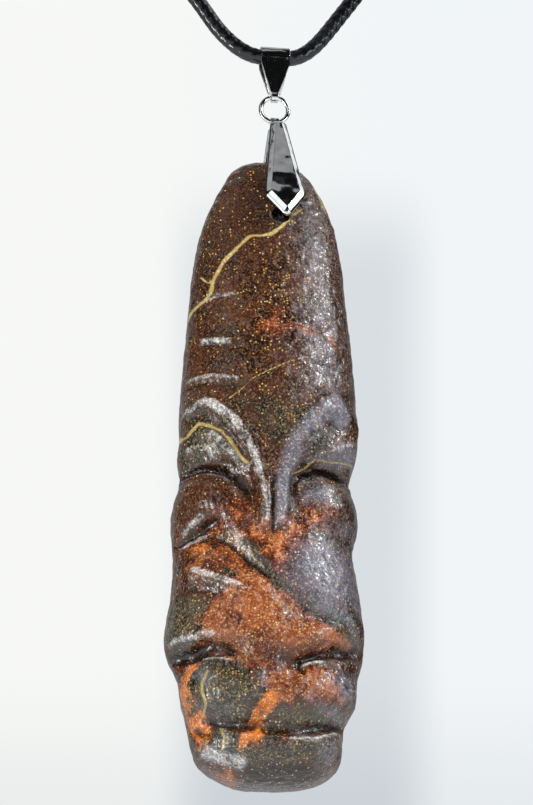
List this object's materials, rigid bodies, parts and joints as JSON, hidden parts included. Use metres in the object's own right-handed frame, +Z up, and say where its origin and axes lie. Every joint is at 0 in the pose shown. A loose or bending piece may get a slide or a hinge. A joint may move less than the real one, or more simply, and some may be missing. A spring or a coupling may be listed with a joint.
{
  "type": "opal pendant necklace",
  "caption": "Long carved matrix-opal pendant with two stacked masks, hung by a pinch bail, a jump ring and a strap bail from a braided cord loop with a plain clasp.",
  "frame": {"origin": "underside of the clasp at the middle of the nape, where the necklace rests on the neck", "axes": "+Z up, the carved face looks along -Y, +X to the right as seen from the front"},
  "size_m": [0.132, 0.0194, 0.231],
  "materials": {
    "cord": "braided, waxed",
    "clasp": "plain",
    "dark_metal": "polished dark plating",
    "bright_metal": "polished",
    "stone": "polished, with fine sparkles"
  },
  "bodies": {
    "necklace": {"cord": "cord", "clasp": "clasp"},
    "bail": {"cord_bail": "dark_metal"},
    "ring": {"jump_ring": "bright_metal"},
    "drop": {"pinch_bail": "dark_metal", "stone": "stone"}
  },
  "joints": [
    {"name": "bail_swing", "type": "hinge", "parent": "necklace", "child": "bail", "pos_m": [0, 0, -0.1337], "axis": [1, 0, 0], "range_deg": [-60, 60]},
    {"name": "ring_swing", "type": "hinge", "parent": "bail", "child": "ring", "pos_m": [0, 0, -0.1391], "axis": [1, 0, 0], "range_deg": [-45, 45]},
    {"name": "drop_swing", "type": "hinge", "parent": "ring", "child": "drop", "pos_m": [0, 0, -0.14254], "axis": [1, 0, 0], "range_deg": [-45, 45]}
  ]
}
